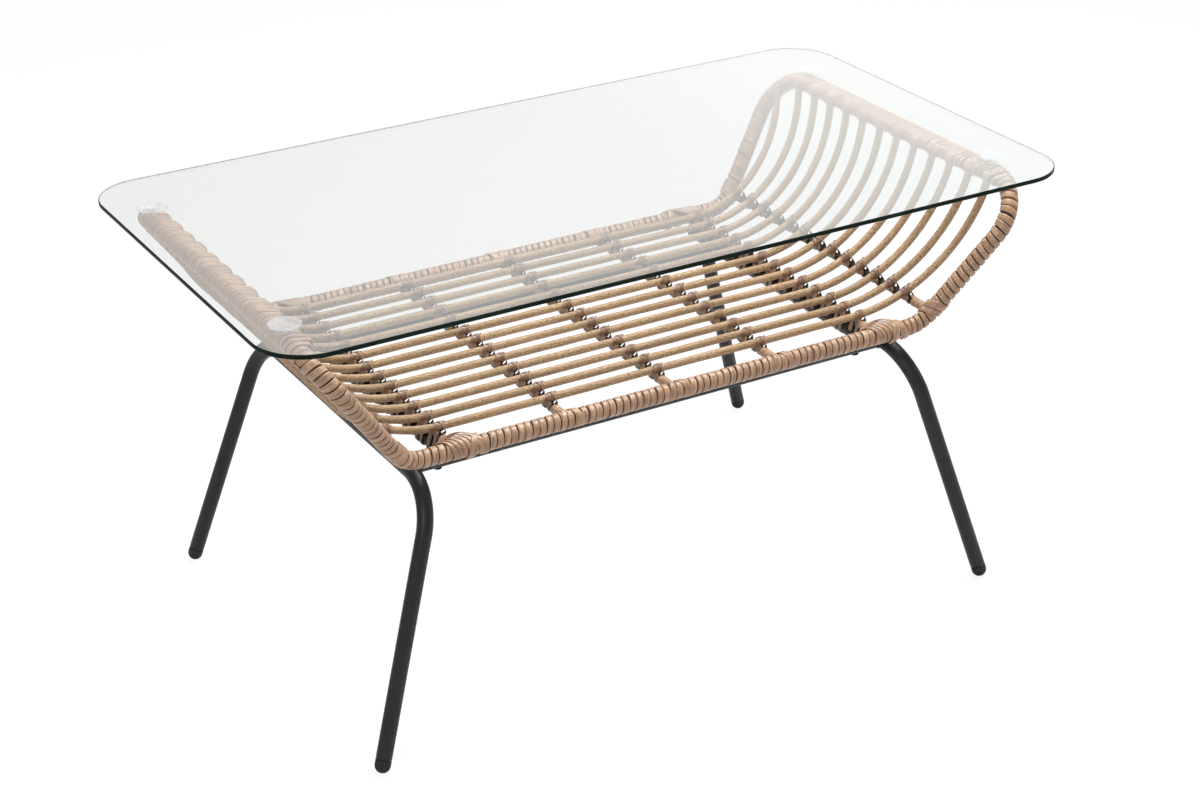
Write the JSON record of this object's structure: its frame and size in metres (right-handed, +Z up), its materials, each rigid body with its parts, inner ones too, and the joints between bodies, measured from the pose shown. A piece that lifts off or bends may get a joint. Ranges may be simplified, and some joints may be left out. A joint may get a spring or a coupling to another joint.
{
  "type": "wicker coffee table",
  "caption": "Garden coffee table with a clear rounded glass top on suction cups, an open wicker tray shelf with raised ends, and splayed black tube legs.",
  "frame": {"origin": "on the floor under the table's centre", "axes": "+Z up, +X along the table's long side, +Y towards the rear long side"},
  "size_m": [1, 0.548, 0.513],
  "materials": {
    "glass": "clear toughened glass, ground edge",
    "clear_rubber": "clear soft plastic",
    "wicker": "flat woven resin strip, satin",
    "reed": "resin reed with a wood-grain print, satin",
    "black_steel": "black powder coat, satin",
    "foot_plastic": "black moulded plastic",
    "bolt_steel": "black coated bolt"
  },
  "bodies": {
    "base": {"suction_cup_front_left": "clear_rubber", "suction_cup_front_right": "clear_rubber", "suction_cup_rear_left": "clear_rubber", "suction_cup_rear_right": "clear_rubber", "rim_tube": "black_steel", "rim_wrap": "wicker", "reed_01": "reed", "reed_02": "reed", "reed_03": "reed", "reed_04": "reed", "reed_05": "reed", "reed_06": "reed", "reed_07": "reed", "reed_08": "reed", "reed_09": "reed", "reed_10": "reed", "reed_11": "reed", "reed_12": "reed", "reed_13": "reed", "cross_rod_1": "black_steel", "cross_rod_2": "black_steel", "cross_rod_3": "black_steel", "cross_rod_4": "black_steel", "cross_rod_5": "black_steel", "cross_rod_6": "black_steel", "cross_rod_7": "black_steel", "lashing_row_1": "wicker", "lashing_row_2": "wicker", "lashing_row_3": "wicker", "lashing_row_4": "wicker", "lashing_row_5": "wicker", "lashing_row_6": "wicker", "lashing_row_7": "wicker", "end_lashing_left": "wicker", "end_lashing_right": "wicker", "tray_tube_left": "black_steel", "tray_tube_right": "black_steel", "leg_frame_left": "black_steel", "leg_frame_right": "black_steel", "stretcher_front": "black_steel", "stretcher_rear": "black_steel", "foot_cap_front_left": "foot_plastic", "foot_cap_front_right": "foot_plastic", "foot_cap_rear_left": "foot_plastic", "foot_cap_rear_right": "foot_plastic", "tray_bolts": "bolt_steel"},
    "glass": {"glass_top": "glass"}
  },
  "joints": [
    {"name": "glass_lift", "type": "slide", "parent": "base", "child": "glass", "axis": [0, 0, 1], "range_m": [0, 0.12]}
  ]
}
